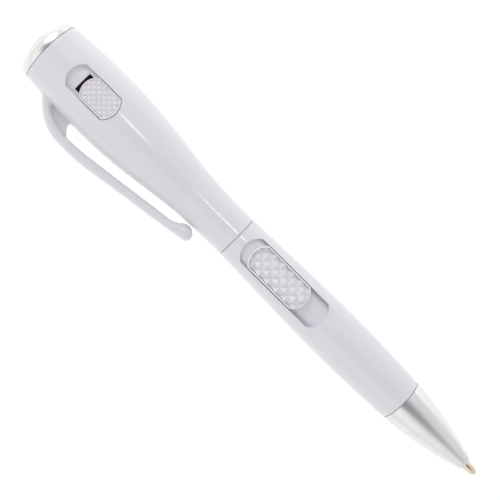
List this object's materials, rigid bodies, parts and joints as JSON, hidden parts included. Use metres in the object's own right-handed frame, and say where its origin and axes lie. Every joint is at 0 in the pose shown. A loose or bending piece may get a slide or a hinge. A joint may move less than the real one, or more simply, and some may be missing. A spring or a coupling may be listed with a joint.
{
  "type": "counterfeit detector pen",
  "caption": "Retractable ball-point pen with a slide-switched ultraviolet lamp in its wide end, a pocket clip and a metal nose cone.",
  "frame": {"origin": "centre of the flat light-end face, on the pen's axis", "axes": "+X along the pen towards the ball point, +Z towards the two slides, -Y towards the pocket clip"},
  "size_m": [0.1494, 0.0233, 0.0181],
  "materials": {
    "shell_white": "glossy injection-moulded white ABS",
    "slide_white": "moulded white ABS with a knurl",
    "satin_silver": "satin silver",
    "clear_window": "clear polished window",
    "bright_reflector": "vacuum-metallised bright plastic",
    "lamp_epoxy": "clear violet-tinted epoxy",
    "circuit_board": "green solder mask",
    "resistor_body": "black chip resistor",
    "natural_plastic": "unpainted moulded acetal",
    "cell_can": "nickel-plated can",
    "spring_steel": "drawn spring wire",
    "contact_brass": "stamped strip",
    "refill_plastic": "translucent tube",
    "ink_black": "ball-point ink paste",
    "point_brass": "turned brass",
    "ball_carbide": "polished carbide ball"
  },
  "bodies": {
    "lamp_case": {"upper_shell": "shell_white", "reflector": "bright_reflector", "uv_led": "lamp_epoxy", "led_board": "circuit_board", "led_resistor": "resistor_body", "battery_tube": "natural_plastic", "cell_1": "cell_can", "cell_2": "cell_can", "cell_3": "cell_can", "battery_spring": "spring_steel", "battery_stop": "natural_plastic", "front_contact": "contact_brass", "rear_contact": "contact_brass"},
    "bezel": {"bezel": "satin_silver", "lens": "clear_window"},
    "clip": {"clip": "shell_white"},
    "lamp_switch": {"lamp_switch": "slide_white", "switch_wiper": "contact_brass"},
    "barrel": {"barrel": "shell_white", "latch_sleeve": "natural_plastic"},
    "thumb_slide": {"thumb_slide": "slide_white", "slide_carrier": "natural_plastic"},
    "refill": {"latch_rotor": "natural_plastic", "refill_tube": "refill_plastic", "ink": "ink_black", "writing_point": "point_brass", "writing_ball": "ball_carbide"},
    "nose": {"nose_cone": "satin_silver", "return_spring": "spring_steel"}
  },
  "joints": [
    {"name": "bezel_removal", "type": "slide", "parent": "lamp_case", "child": "bezel", "axis": [-1, 0, 0], "range_m": [0, 0.006]},
    {"name": "lamp_switch_travel", "type": "slide", "parent": "lamp_case", "child": "lamp_switch", "axis": [-1, 0, 0], "range_m": [0, 0.0042]},
    {"name": "clip_flex", "type": "hinge", "parent": "lamp_case", "child": "clip", "pos_m": [0.0104, -0.009, 0], "axis": [0, 0, -1], "range_deg": [0, 5], "stiffness_Nm_per_rad": 4},
    {"name": "barrel_removal", "type": "slide", "parent": "lamp_case", "child": "barrel", "axis": [1, 0, 0], "range_m": [0, 0.01]},
    {"name": "thumb_slide_travel", "type": "slide", "parent": "barrel", "child": "thumb_slide", "axis": [1, 0, 0], "range_m": [-0.0023, 0.0006]},
    {"name": "refill_travel", "type": "slide", "parent": "barrel", "child": "refill", "axis": [1, 0, 0], "range_m": [-0.00414, 0.00108], "deforming": ["return_spring"]},
    {"name": "nose_removal", "type": "slide", "parent": "barrel", "child": "nose", "axis": [1, 0, 0], "range_m": [0, 0.009]}
  ],
  "couplings": [
    {"joint": "refill_travel", "follows": "thumb_slide_travel", "ratio": 1.8}
  ]
}
